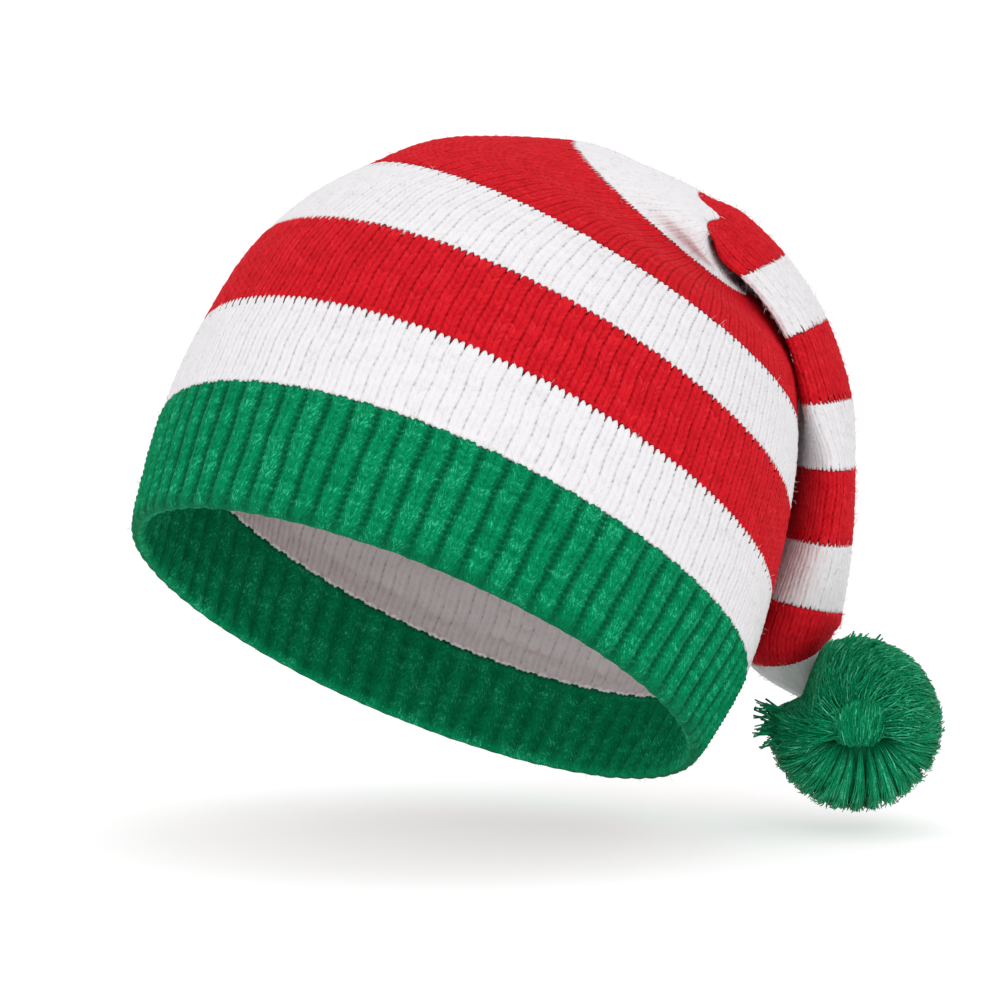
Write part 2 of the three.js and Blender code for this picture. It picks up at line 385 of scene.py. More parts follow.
def tube_patch(paths, radii, values, map_low, map_high):
    """Closed three-sided tubes along paths, with a cell of the map for each tube."""
    count, steps = paths.shape[:2]
    tangents = unit(np.gradient(paths, axis=1))
    spread = paths[:, -1] - paths[:, 0]
    helper = np.stack([spread[:, 1], spread[:, 2], -spread[:, 0]], -1)[:, None, :]
    side = unit(np.cross(tangents, helper + HELPER_NUDGE))
    other = np.cross(tangents, side)
    turns = 2 * np.pi * np.arange(TUBE_SIDES) / TUBE_SIDES
    rings = side[:, :, None] * np.cos(turns)[:, None] + other[:, :, None] * np.sin(turns)[:, None]
    points = paths[:, :, None] + rings * radii[:, :, None, None]
    n, k, s = np.meshgrid(np.arange(count), np.arange(steps - 1), np.arange(TUBE_SIDES), indexing="ij")
    here = (n * steps + k) * TUBE_SIDES
    ahead = here + TUBE_SIDES
    around = (s + 1) % TUBE_SIDES
    quads = np.stack([here + s, here + around, ahead + around, ahead + s], -1)
    first = np.arange(count) * steps * TUBE_SIDES
    last = first + (steps - 1) * TUBE_SIDES
    starts = np.stack([first, first + 2, first + 1], -1)
    ends = np.stack([last, last + 1, last + 2], -1)
    cells = math.ceil(math.sqrt(count))
    cell_high = (map_high - map_low) / cells

    def place(tube, across, up):
        return np.stack([(tube % cells + across) / cells, map_low + (tube // cells + up) * cell_high], -1)

    low = CELL_LOW + CELL_HEIGHT * k / (steps - 1)
    high = CELL_LOW + CELL_HEIGHT * (k + 1) / (steps - 1)
    left = SIDE_WIDTH * s
    right = SIDE_WIDTH * (s + 1)
    corners = [(left, low), (right, low), (right, high), (left, high)]
    quad_map = np.stack([place(n, across, up) for across, up in corners], -2)
    tube = np.arange(count)
    end_maps = []
    for rise in END_RISES:
        end_maps.append(np.stack([place(tube, across, rise + up) for across, up in END_CORNERS], 1))
    flat_values = {}
    for name, value in values.items():
        flat = value.reshape((count * steps,) + value.shape[2:])
        flat_values[name] = np.repeat(flat, TUBE_SIDES, axis=0)
    return Patch(points.reshape(-1, 3), quads.reshape(-1, 4), quad_map.reshape(-1, 4, 2), flat_values,
                 np.concatenate([starts, ends]), np.concatenate(end_maps))


def joined(patches):
    """Several patches as one."""
    starts = np.cumsum([0] + [len(patch.points) for patch in patches[:-1]])
    return Patch(
        np.concatenate([patch.points for patch in patches]),
        np.concatenate([patch.quads + start for patch, start in zip(patches, starts)]),
        np.concatenate([patch.quad_map for patch in patches]),
        {name: np.concatenate([patch.values[name] for patch in patches]) for name in patches[0].values},
        np.concatenate([patch.triangles + start for patch, start in zip(patches, starts)]),
        np.concatenate([patch.triangle_map for patch in patches]),
    )


def knit_object(name, patch, finish, slot):
    """A mesh object from a patch, riding on the hat in place of its plain solid."""
    mesh = bpy.data.meshes.new(name)
    mesh.from_pydata((patch.points * MM).tolist(), [], patch.quads.tolist() + patch.triangles.tolist())
    bake_map = mesh.uv_layers.new(name=BAKE_MAP)
    places = np.concatenate([patch.quad_map.reshape(-1), patch.triangle_map.reshape(-1)])
    bake_map.data.foreach_set("uv", places.astype(np.float32))
    for value_name, value in patch.values.items():
        kind, field = ("FLOAT", "value") if value.ndim == 1 else ("FLOAT_VECTOR", "vector")
        attribute = mesh.attributes.new(value_name, kind, "POINT")
        attribute.data.foreach_set(field, value.reshape(-1).astype(np.float32))
    mesh.polygons.foreach_set("use_smooth", np.ones(len(mesh.polygons), bool))
    mesh.materials.append(finish)
    mesh.update()
    piece = bpy.data.objects.new(name, mesh)
    bpy.context.scene.collection.objects.link(piece)
    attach(piece, "root")
    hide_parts(name)


# Stitches

def wale_place(share, wales):
    """Where a share of the girth lies in its wale: 0 in the middle of the wale, 1 at its edges."""
    part = share * wales % 1
    return np.abs(2 * part - 1)


def leg_profile(place):
    """Height of the two legs of a stitch across a wale: low at its edges and in its middle."""
    return np.sin(np.pi * (LEG_START + LEG_SPREAD * place)) ** LEG_FULLNESS


def section_girth(at):
    """Girth of the tube, from the half sizes of its section."""
    size = sections(at)
    return 2 * np.pi * np.hypot(size["span"], size["depth"]) / math.sqrt(2)


def mean_length(start):
    """Mean length of a stripe's wall from its lower to its upper edge."""
    rows = start + np.linspace(0, 1, LENGTH_ROWS)
    at, share = np.meshgrid(rows, np.arange(LENGTH_COLUMNS) / LENGTH_COLUMNS, indexing="ij")
    points = wall_points(at, share, 0.0, np.zeros_like(at))
    return np.linalg.norm(np.diff(points, axis=0), axis=-1).sum(0).mean()


def fuzz_patch(points, normals, onward, rng, count):
    """Loose fibres that lie along a knitted surface and stand off it a little."""
    pick = rng.integers(0, len(points), count)
    out = normals[pick]
    way = onward[pick] * FUZZ_ALONG * rng.choice([-1, 1], (count, 1))
    way = way + out * rng.uniform(*FUZZ_STAND, (count, 1)) + FUZZ_SCATTER * rng.normal(size=(count, 3))
    way = unit(way)
    length = rng.uniform(*FUZZ_LENGTHS, (count, 1))
    bend = rng.normal(size=(count, 3)) * length * FUZZ_BEND
    root = points[pick] - out * FUZZ_ROOT_DEPTH
    middle = root + way * length * FUZZ_MIDDLE + bend * FUZZ_MIDDLE_BEND + out * FUZZ_ARCH
    end = root + way * length + bend * FUZZ_END_BEND
    paths = np.stack([root, middle, end], 1)
    radii = FUZZ_RADIUS * np.array(FUZZ_TAPER) * np.ones((count, 1))
    values = {
        # Loose fibres take no painted shade, and their high tones give many of them painted glints.
        "relief_shade": np.ones_like(radii),
        "tone": rng.uniform(*FUZZ_TONES, (count, 1)) * np.ones_like(radii),
        "gap_shade": np.zeros_like(radii),
        "lay": paths,
    }
    return tube_patch(paths, radii, values, FUZZ_STRIP, 1.0)


def edge_line(below, above, share):
    """Line of teeth where two stripes meet, the same from both sides whatever their mesh columns."""
    columns = min(part["wales"] * part["columns"] for part in (below, above))
    knots = np.arange(columns + 1) / columns
    teeth = np.interp(wale_place(knots, below["wales"]), EDGE_PLACES, EDGE_TEETH)
    return below["teeth"] * np.interp(share, knots, teeth)


def edge_swell(below, share):
    """How far the upper edge of a stripe swells on towards the tip, as a share of its length."""
    middle, width, height = EDGE_SWELLS.get(below["name"], NO_SWELL)
    aside = (share - middle + 0.5) % 1 - 0.5
    return height * np.exp(-(aside / width) ** 2)


def yarn_lay(place, share, course, wales, wale_width):
    """Place along the yarn: across a leg, along it, and the number of its wale."""
    across = place * wale_width / 2
    along = course * COURSE_PITCH
    number = share * wales
    slanted = across - LEG_SLANT * along
    stretched = (along + LEG_SLANT * across) / FIBRE_STRETCH
    return np.stack(np.broadcast_arrays(slanted, stretched, number), -1)


def stripe_patch(stripe, start, below, above, rng):
    """One knitted stripe: rows of stitches outside, down over the edge and back along the inside."""
    wales = stripe["wales"]
    length = mean_length(start)
    courses = max(FEWEST_COURSES, round(length / COURSE_PITCH))
    columns = wales * stripe["columns"]
    share = np.arange(columns) / columns
    place = wale_place(share, wales)

    outer_course = np.arange(courses * ROWS_IN_COURSE + 1) / ROWS_IN_COURSE
    inner_count = courses * stripe["inner"] if stripe["inner"] else PLAIN_INNER_ROWS
    inner_course = np.linspace(0, courses, inner_count + 1)[::-1]
    course = np.concatenate([outer_course, inner_course])
    outside = np.concatenate([np.ones(len(outer_course)), np.zeros(len(inner_course))])[:, None]
    near_low = np.clip(1 - course, 0, 1)[:, None]
    near_top = np.clip(course - courses + 1, 0, 1)[:, None]
    climb = (course / courses)[:, None]
    edge = edge_line(below, stripe, share) * near_low + edge_swell(below, share) * (1 - climb)
    if above:
        edge = edge + edge_line(stripe, above, share) * near_top + edge_swell(stripe, share) * climb
    edge = edge + STRIPE_GAP / 2 / length * (1 - 2 * climb)
    chevron = CHEVRON * (place - 0.5) * (1 - near_low - near_top)
    at = start + (course[:, None] + chevron) / courses + edge
    wave = 2 * np.pi * (WANDER_ALONG * at + WANDER_ROUND * share) + start
    wander = WALE_WANDER / wales * np.sin(wave)
    inset = stripe["wall"] * (1 - outside) * np.ones_like(share)
    if stripe["inner"]:
        low_share = np.clip(1 - course / FLUSH_COURSES, 0, 1)[:, None]
        inset = inset + (CUFF_WALL - stripe["wall"]) * low_share * (1 - outside)
    middle = 1 - (2 * np.clip(at - start, 0, 1) - 1) ** SINK_FLATNESS
    shift = -stripe["sink"] * (1 - outside) * middle
    if not above:
        pleat = GATHER_DEPTH * sections(at)["span"] * np.cos(GATHER_FOLDS * 2 * np.pi * share)
        inset = inset + pleat * (at - start)
    base = wall_points(at, share + wander, inset, shift)

    stitch_course = np.floor(course + COURSE_NUDGE).astype(int) % (courses + 1)
    wale = np.floor(share * wales).astype(int)
    edge_wale = np.round(share * wales).astype(int) % wales
    stitch_tone = rng.random((courses + 1, wales))[stitch_course][:, wale]
    gap_size = rng.uniform(*GAP_SIZES, (courses + 1, wales))
    slit_size = rng.uniform(*SLIT_SIZES, wales)[edge_wale]
    at_edge = place > GAP_PLACE
    yarn = np.sin(np.pi * (course % 1))[:, None]
    gap = gap_size[stitch_course][:, edge_wale] * (1 - GAP_CLOSING * yarn) * at_edge * (1 - near_low)
    slit = slit_size * np.clip(near_top / SLIT_REACH - SLIT_START, 0, 1) * at_edge * outside
    leg = leg_profile(place)
    height = LEG_RELIEF * (leg * (LEG_LOW + (1 - LEG_LOW) * yarn) - LEG_MEAN)
    height = height - np.maximum(PIT_DEPTH * gap, SLIT_DEPTH * slit)
    uneven = rng.normal(0, STITCH_UNEVEN, (courses + 1, wales))
    height = height + uneven[stitch_course][:, wale]
    squeeze = np.clip(section_girth(at) / wales / FULL_WALE, FLAT_WALE, 1) ** 2
    height = height * squeeze * (1 if stripe["inner"] else outside)
    normals = grid_normals(base)
    points = base + normals * height[..., None]
    # Painted shade: the lower a point of the knit lies, the darker its colour, darkest in the gaps.
    relief_shade = np.clip(RELIEF_MIDDLE + height / (LEG_RELIEF + PIT_DEPTH), 0, 1)
    girth = section_girth(np.array([start + 0.5]))[0]
    bands = max(1, round(math.sqrt(girth / (2 * length))))
    values = {
        "relief_shade": relief_shade,
        "tone": stitch_tone,
        # Painted shade in the gaps between wales and painted shadow in the slits at the upper edge.
        "gap_shade": np.maximum(gap, SLIT_GAP_SHADE * slit),
        "lay": yarn_lay(place, share, course[:, None], wales, girth / wales),
    }
    knit = grid_patch(points, values, bands, KNIT_MAP_TOP)
    shown = slice(0, len(outer_course))
    onward = unit(np.gradient(base[shown], axis=0))
    spots = [grid[shown].reshape(-1, 3) for grid in (points, normals)]
    fuzz = fuzz_patch(*spots, onward.reshape(-1, 3), rng, FUZZ_COUNT)
    return joined([knit, fuzz])


def cuff_patch(above, rng):
    """The ribbed cuff: knit ribs outside, round the folded lower edge and up the inside."""
    columns = RIB_COUNT * RIB_MESH_COLUMNS
    share = np.arange(columns) / columns
    rib_part = (share * RIB_COUNT + RIB_START) % 1
    rib_number = np.floor(share * RIB_COUNT + RIB_START).astype(int) % RIB_COUNT
    place = np.abs(2 * rib_part - 1)
    rib_teeth = RIB_CHEVRON * (0.5 - np.abs(place - 0.5))
    length = mean_length(0)

    outer_course = np.arange(RIB_COURSES * ROWS_IN_COURSE + 1) / ROWS_IN_COURSE
    inner_course = np.linspace(0, RIB_COURSES, RIB_COURSES + 1)[::-1]
    fold_turn = np.pi * (1 - np.arange(1, CUFF_FOLD_ROWS + 1) / (CUFF_FOLD_ROWS + 1))
    course = np.concatenate([outer_course, inner_course, np.zeros(CUFF_FOLD_ROWS)])
    turn = np.concatenate([np.zeros(len(outer_course)), np.full(len(inner_course), np.pi), fold_turn])
    inset = CUFF_WALL / 2 * (1 - np.cos(turn))[:, None] * np.ones_like(share)
    shift = -CUFF_WALL / 2 * np.sin(turn)[:, None] * np.ones_like(share)
    near_top = np.clip(course - RIB_COURSES + RIB_TOP_COURSES, 0, 1)[:, None]
    near_fold = np.clip(course / RIB_FOLD_COURSES, 0, 1)[:, None]
    climb = (course[:, None] + rib_teeth * (1 - near_top) * near_fold) / RIB_COURSES
    edge = (edge_line(CUFF, above, share) - STRIPE_GAP / 2 / length) * near_top
    at = CUFF_FOLD_START + (1 - CUFF_FOLD_START) * climb + edge
    phase = rng.uniform(0, 2 * np.pi, (2, RIB_COUNT))[:, rib_number]
    first_wave, second_wave = [np.sin(turns * at * np.pi + p) for turns, p in zip(SWAY_TURNS, phase)]
    sway = first_wave + SECOND_SWAY * second_wave
    smooth_sway = (sway + np.roll(sway, 1, 1) + np.roll(sway, -1, 1)) / 3
    wander = RIB_WANDER / RIB_COUNT * smooth_sway * near_fold * (1 - near_top)
    base = wall_points(at, share + wander, inset, shift)

    inward = np.cos(turn)[:, None]
    outer_rib = (1 - 2 * place ** RIB_SHARPNESS) * np.clip(inward, 0, 1)
    inner_rib = (1 - 2 * (1 - place) ** RIB_SHARPNESS) * np.clip(-inward, 0, 1)
    rib = (outer_rib + inner_rib) * (RIB_AT_FOLD + (1 - RIB_AT_FOLD) * near_fold)
    yarn = np.sin(np.pi * (course % 1))[:, None]
    ridge = np.clip(rib, 0, 1)
    groove = np.clip(-rib, 0, 1)
    leg = np.sin(np.pi * (RIB_LEG_START + (1 - RIB_LEG_START) * place))
    height = RIB_HEIGHT * (rib - RIB_MEAN)
    leg_share = RIB_LEG_LOW + (1 - RIB_LEG_LOW) * leg
    height = height + RIB_LEG_RELIEF * (yarn - 0.5) * ridge * leg_share
    height = height + RUNG_RELIEF * (yarn - 0.5) * groove
    stitch_course = np.floor(course + COURSE_NUDGE).astype(int)
    stitch_tone = rng.random((RIB_COURSES + 1, RIB_COUNT))[stitch_course][:, rib_number]
    uneven = rng.normal(0, RIB_UNEVEN, (RIB_COURSES + 1, RIB_COUNT))
    height = height + uneven[stitch_course][:, rib_number]
    height = height * (1 - (1 - RIB_AT_TOP) * near_top)
    normals = grid_normals(base)
    points = base + normals * height[..., None]
    # Painted shade in the grooves, painted light on the inside and on the rungs, and painted highlights on
    # the legs of the ribs.
    relief_shade = np.clip(0.5 + 0.5 * height / RIB_HEIGHT, 0, 1)
    relief_shade = relief_shade + INNER_PAINTED_LIGHT * (1 - relief_shade) * (inward < -0.5) + RUNG_PAINTED_LIGHT * yarn * groove
    relief_shade = relief_shade + np.interp(place, RIB_PLACES, RIB_SHINES) * np.clip(inward, 0, 1) * near_fold
    lay_course = course - CUFF_WALL / 2 * turn / COURSE_PITCH
    values = {
        "relief_shade": relief_shade,
        "tone": stitch_tone,
        "gap_shade": np.zeros_like(height),
        "lay": yarn_lay(place, share, lay_course[:, None], RIB_COUNT, RIB_PITCH),
    }
    knit = grid_patch(points, values, CUFF_MAP_BANDS, KNIT_MAP_TOP)
    onward = unit(np.roll(base, -1, 0) - np.roll(base, 1, 0))
    spots = [grid.reshape(-1, 3) for grid in (points, normals, onward)]
    return joined([knit, fuzz_patch(*spots, rng, CUFF_FUZZ_COUNT)])


# Pompom

# Ways from the pompom's middle: to the front of the parting, up, and to the right.
FACE = np.array([0.0, -1.0, 0.0])
CROWN_WAY = np.array([0.0, 0.0, 1.0])
SIDE_WAY = np.array([1.0, 0.0, 0.0])
GOLDEN_TURN = math.pi * (3 - math.sqrt(5))

CORE_ROWS = 18
CORE_COLUMNS = 36
CORE_TONE = 0.4
CORE_MAP_TOP = 0.04

# All strands: radius, its spread and taper, and their place in the pattern of streaks.
STRAND_RADIUS = 0.22
STRAND_THICKNESSES = (0.7, 1.3)
STRAND_TAPER = 0.7
LAY_LENGTH = 2
LAY_SHIFT = 0.5
ROOT_SHARES = (0.0, 0.3, 1.0)
# Brightness of the painted shade at those shares of a strand, darker deep in the pompom and in its crease,
# and thickness: combed, draped, nose, tuft and top strands.
ROOT_RELIEF_SHADES = ((0.4, 0.6, 1.0), (0.0, 0.75, 1.0), (0.8, 0.9, 0.8), (0.0, 0.2, 0.4), (0.3, 0.6, 0.8))
STRAND_SCALES = (1.0, 1.0, 1.0, 1.9, 1.6)
STRAND_MAP_EDGES = (0.05, 0.6, 0.86, 0.96, 0.98, 1.0)

# Combed strands. Angles count from the front of the parting. They start round the nose and end at
# COMBED_LOW, the cosine of the turn from straight up. At the back they go all round.
# The brow is their swell above the nose.
COMBED_COUNT = 12600
COMBED_STEPS = 3
COMBED_LOW = -0.17
NOSE_POLAR = 0.36
BACK_POLAR = 2.1
COMBED_LENGTHS = (0.24, 0.46)
COMBED_ROOT = 0.3
COMBED_SWAY = 0.06
LEAST_SINE = 0.25
COMBED_LAYERS = (0.5, 2.2)
COMBED_LIFT = 0.7
COMBED_SINK = 2.5
COMB_LEAN = 0.3
BROW_HEIGHT = 2.4
BROW_POLAR = 0.22
BROW_WIDTH = 0.36

# Draped strands: locks, cut ends, layers, roots at the parting, bend on the way, and flare at the end.
DRAPE_COUNT = 2300
DRAPE_STEPS = 5
DRAPE_LOCKS = 17
DRAPE_TURN = 1.8
LOCK_WIDTH = 0.06
LOCK_LIMIT = 2
LOCK_ROUND = 0.7
DRAPE_POLARS = (1.3, 2.4)
DRAPE_SCATTER = 0.05
DRAPE_LAYER = 1.6
ROOT_SPREADS = (0.8, 1.1)
ROOT_UPS = (-0.16, -0.02)
DRAPE_MIDDLE = 0.62
DRAPE_FULLNESS = 1.25
DRAPE_LOW = 0.76
DRAPE_RISE = 5.0
FLARE_START = 0.7
FLARE_MOST = 3

# The nose: way up from the parting, and reach as a share of the radius, from its root to the crease.
NOSE_COUNT = 850
NOSE_STEPS = 4
NOSE_SHARES = (0.0, 0.35, 0.65, 0.88, 1.0)
NOSE_UPS = (0.6, 0.34, 0.06, -0.14, -0.18)
NOSE_REACHES = (0.91, 1.01, 1.04, 0.98, 0.86)
NOSE_FIRST = 0.5
NOSE_LENGTHS = (0.4, 0.5)
NOSE_SIDE = 1.1
NOSE_ROUND = 0.11
NOSE_SPREAD = 0.42
NOSE_CLOSING = 0.5
NOSE_ASIDE = -0.04
NOSE_LEAN = 0.3
NOSE_LAYER = 1.5
NOSE_SCATTER = 0.25

# Tuft below the tail: angles in degrees, reach, depth to each side, and roots.
TUFT_COUNT = 64
TUFT_ANGLES = (-14, 15)
TUFT_REACHES = (26, 31)
TUFT_DEPTH = 9
TUFT_ROOT = -12.0
TUFT_ROOT_UPS = (-4, 3)
TUFT_SCATTER = 1

# Clumps at the top: turns from straight up, and shares of the radius at the root, the middle and the end.
TOP_COUNT = 30
TOP_CLUMPS = (-0.12, 0.02, 0.12, 0.2)
TOP_CLUMP_SPREAD = 0.04
TOP_POLAR = 1.5
TOP_END_SPREAD = 0.12
TOP_MIDDLE_SPREAD = 0.05
TOP_MIDDLE_TURN = -0.1
TOP_ROOT = 0.7
TOP_MIDDLE = 0.9
TOP_REACHES = (0.98, 1.06)
TOP_BEND = 1.5


def pompom_way(polar, turn):
    """Direction at an angle from the front of the parting, turned round from straight up."""
    out = CROWN_WAY * np.cos(turn)[..., None] + SIDE_WAY * np.sin(turn)[..., None]
    return FACE * np.cos(polar)[..., None] + out * np.sin(polar)[..., None]


def curved(start, control, end, steps):
    """Points of bent strands from their start over a control point to their end."""
    t = np.linspace(0, 1, steps)[None, :, None]
    return start[:, None] * (1 - t) ** 2 + control[:, None] * 2 * t * (1 - t) + end[:, None] * t ** 2


def strand_values(paths, root_shade, rng):
    """Values along strands: painted shade from the root to the cut end, and a tone for each strand."""
    count, steps = paths.shape[:2]
    number = np.arange(count)[:, None] * np.ones((1, steps))
    along = np.linspace(0, LAY_LENGTH, steps) * np.ones((count, 1))
    return {
        "relief_shade": np.interp(np.linspace(0, 1, steps), ROOT_SHARES, root_shade) * np.ones((count, 1)),
        "tone": rng.random((count, 1)) * np.ones((1, steps)),
        "gap_shade": np.zeros((count, steps)),
        "lay": np.stack([number, along, LAY_SHIFT * number], -1),
    }


def strand_radii(count, steps, rng):
    """Radius along strands, each a little thicker or thinner."""
    taper = np.linspace(1, STRAND_TAPER, steps)
    return STRAND_RADIUS * rng.uniform(*STRAND_THICKNESSES, (count, 1)) * taper


def combed_paths(rng):
    """Short strands of the round upper half and of the back, combed away from the front."""
    i = np.arange(COMBED_COUNT) + 0.5
    polar = np.arccos(1 - 2 * i / COMBED_COUNT)
    turn = (i * GOLDEN_TURN) % (2 * np.pi)
    kept = ((np.cos(turn) > COMBED_LOW) & (polar > NOSE_POLAR)) | (polar > BACK_POLAR)
    count = kept.sum()
    polar = polar[kept][:, None]
    turn = turn[kept][:, None]
    t = np.linspace(0, 1, COMBED_STEPS)[None]
    length = rng.uniform(*COMBED_LENGTHS, (count, 1))
    sway = rng.normal(0, COMBED_SWAY, (count, 1)) * t / np.maximum(np.sin(polar), LEAST_SINE)
    path = polar + length * (t - COMBED_ROOT)
    brow = BROW_HEIGHT * np.exp(-((path - BROW_POLAR) / BROW_WIDTH) ** 2)
    layer = rng.uniform(*COMBED_LAYERS, (count, 1))
    lift = t ** 2 * rng.uniform(0, COMBED_LIFT, (count, 1))
    reach = POMPOM_RADIUS - layer + brow + lift - COMBED_SINK * (1 - t) ** 2
    lean = COMB_LEAN * t * np.cos(turn)
    return pompom_way(path, turn + lean + sway) * reach[..., None]


def parting_way(aside, up):
    """Direction of a point of the parting, which runs from side to side across the front."""
    return unit(FACE + SIDE_WAY * aside[..., None] + CROWN_WAY * up[..., None])


def drape_paths(rng):
    """Strands of the lower half, in locks that run from the parting over the surface to their cut ends."""
    lock = rng.integers(0, DRAPE_LOCKS, DRAPE_COUNT)
    middle = np.pi + DRAPE_TURN * (2 * (lock + 0.5) / DRAPE_LOCKS - 1)
    aside = np.clip(rng.normal(0, 1, DRAPE_COUNT), -LOCK_LIMIT, LOCK_LIMIT)
    turn = middle + LOCK_WIDTH * aside
    last = rng.uniform(*DRAPE_POLARS, DRAPE_COUNT)
    sink = LOCK_ROUND * aside ** 2 + rng.uniform(0, DRAPE_LAYER, DRAPE_COUNT)
    spread = PARTING_SPREAD * np.sin(middle) * rng.uniform(*ROOT_SPREADS, DRAPE_COUNT)
    root = parting_way(spread, rng.uniform(*ROOT_UPS, DRAPE_COUNT))
    bend = pompom_way(DRAPE_MIDDLE * last, turn)
    end = pompom_way(last, turn + rng.normal(0, DRAPE_SCATTER, DRAPE_COUNT))
    way = unit(curved(root, DRAPE_FULLNESS * bend, end, DRAPE_STEPS))
    t = np.linspace(0, 1, DRAPE_STEPS)[None]
    rise = 1 - np.exp(-DRAPE_RISE * t)
    reach = POMPOM_RADIUS * (DRAPE_LOW + (1 - DRAPE_LOW) * rise) - sink[:, None]
    flare = np.maximum(t - FLARE_START, 0) * rng.uniform(0, FLARE_MOST, (DRAPE_COUNT, 1))
    return way * (reach + flare)[..., None]


def nose_paths(rng):
    """Strands of the round nose above the parting, which run down over it into the crease."""
    aside = rng.uniform(-NOSE_SIDE, NOSE_SIDE, (NOSE_COUNT, 1))
    first = rng.uniform(0, NOSE_FIRST, (NOSE_COUNT, 1))
    share = first + rng.uniform(*NOSE_LENGTHS, (NOSE_COUNT, 1)) * np.linspace(0, 1, NOSE_STEPS)
    up = np.interp(share, NOSE_SHARES, NOSE_UPS)
    reach = np.interp(share, NOSE_SHARES, NOSE_REACHES) - NOSE_ROUND * aside ** 2
    across = NOSE_ASIDE + NOSE_SPREAD * aside * (1 - NOSE_CLOSING * share ** 2)
    way = parting_way(across + NOSE_LEAN * np.maximum(up, 0) ** 2, up)
    sunk = POMPOM_RADIUS * reach - rng.uniform(0, NOSE_LAYER, (NOSE_COUNT, 1))
    return way * sunk[..., None] + rng.normal(0, NOSE_SCATTER, (NOSE_COUNT, NOSE_STEPS, 3))


def pressed(points):
    """Points of the pompom with the side under the tail pushed in to its flat."""
    x = points[..., 0] - PRESS_X
    z = points[..., 2] - PRESS_Z
    across = x * math.cos(PRESS_LEAN) - z * math.sin(PRESS_LEAN)
    up = x * math.sin(PRESS_LEAN) + z * math.cos(PRESS_LEAN)
    hold = np.clip(up / PRESS_EASE, 0, 1)
    push = np.maximum(-across, 0) * (1 - PRESS_LEFT) * hold
    way = np.array([math.cos(PRESS_LEAN), 0, -math.sin(PRESS_LEAN)])
    return points + push[..., None] * way


def tuft_paths(rng):
    """Thick strands that stick out at the side, below the tail."""
    angle = np.radians(rng.uniform(*TUFT_ANGLES, TUFT_COUNT))
    deep = rng.uniform(-TUFT_DEPTH, TUFT_DEPTH, TUFT_COUNT)
    far = rng.uniform(*TUFT_REACHES, TUFT_COUNT)
    root_up = rng.uniform(*TUFT_ROOT_UPS, TUFT_COUNT)
    start = np.stack([np.full(TUFT_COUNT, TUFT_ROOT), deep / 2, root_up], -1)
    end = np.stack([-far * np.cos(angle), deep, far * np.sin(angle)], -1)
    control = (start + end) / 2 + rng.normal(0, TUFT_SCATTER, (TUFT_COUNT, 3))
    return curved(start, control, end, NOSE_STEPS)


def top_paths(rng):
    """Strands at the top that stand off in a few small clumps, bent to the right."""
    clump = rng.choice(TOP_CLUMPS, TOP_COUNT)
    turn = clump + rng.normal(0, TOP_CLUMP_SPREAD, TOP_COUNT)
    way = pompom_way(rng.normal(TOP_POLAR, TOP_END_SPREAD, TOP_COUNT), turn)
    far = POMPOM_RADIUS * rng.uniform(*TOP_REACHES, (TOP_COUNT, 1))
    middle = pompom_way(rng.normal(TOP_POLAR, TOP_MIDDLE_SPREAD, TOP_COUNT), turn + TOP_MIDDLE_TURN)
    control = middle * TOP_MIDDLE * POMPOM_RADIUS
    return curved(control * TOP_ROOT, control, way * far + SIDE_WAY * TOP_BEND, NOSE_STEPS)


def core_patch():
    """The dense middle of the pompom, behind the strands."""
    polar = np.pi * (np.arange(CORE_ROWS) + 0.5) / CORE_ROWS
    turn = 2 * np.pi * np.arange(CORE_COLUMNS) / CORE_COLUMNS
    ball = pompom_way(*np.meshgrid(polar, turn, indexing="ij"))
    flat = np.zeros((CORE_ROWS, CORE_COLUMNS))
    # Painted shade: the core takes the deep shade of the yarn, a little darker in tone.
    values = {"relief_shade": flat, "tone": flat + CORE_TONE, "gap_shade": flat, "lay": ball}
    return grid_patch(pressed(ball * POMPOM_CORE), values, 1, CORE_MAP_TOP)


def pompom_patch(rng):
    """All strands of the pompom and its core, as one mesh."""
    patches = [core_patch()]
    pressed_kinds = [pressed(kind(rng)) for kind in (combed_paths, drape_paths, nose_paths)]
    kinds = pressed_kinds + [tuft_paths(rng), top_paths(rng)]
    rows = zip(kinds, ROOT_RELIEF_SHADES, STRAND_SCALES, STRAND_MAP_EDGES, STRAND_MAP_EDGES[1:])
    for paths, relief_shade, scale, low, high in rows:
        radii = scale * strand_radii(*paths.shape[:2], rng)
        patches.append(tube_patch(paths, radii, strand_values(paths, relief_shade, rng), low, high))
    patch = joined(patches)
    patch.points = patch.points + POMPOM_MIDDLE
    return patch


# Finishes

class Strand:
    """A socket of a finish on which sums can be written: each sum adds a Math node."""

    def __init__(self, finish, socket):
        self.finish = finish
        self.socket = socket

    def sum(self, operation, first, second):
        """A Math node on strands or numbers."""
        return self.finish.node("ShaderNodeMath", {"operation": operation}, {0: first, 1: second})

    def __add__(self, other):
        return self.sum("ADD", self, other)

    def __radd__(self, other):
        return self.sum("ADD", other, self)

    def __sub__(self, other):
        return self.sum("SUBTRACT", self, other)

    def __rsub__(self, other):
        return self.sum("SUBTRACT", other, self)

    def __mul__(self, other):
        return self.sum("MULTIPLY", self, other)

    def __rmul__(self, other):
        return self.sum("MULTIPLY", other, self)


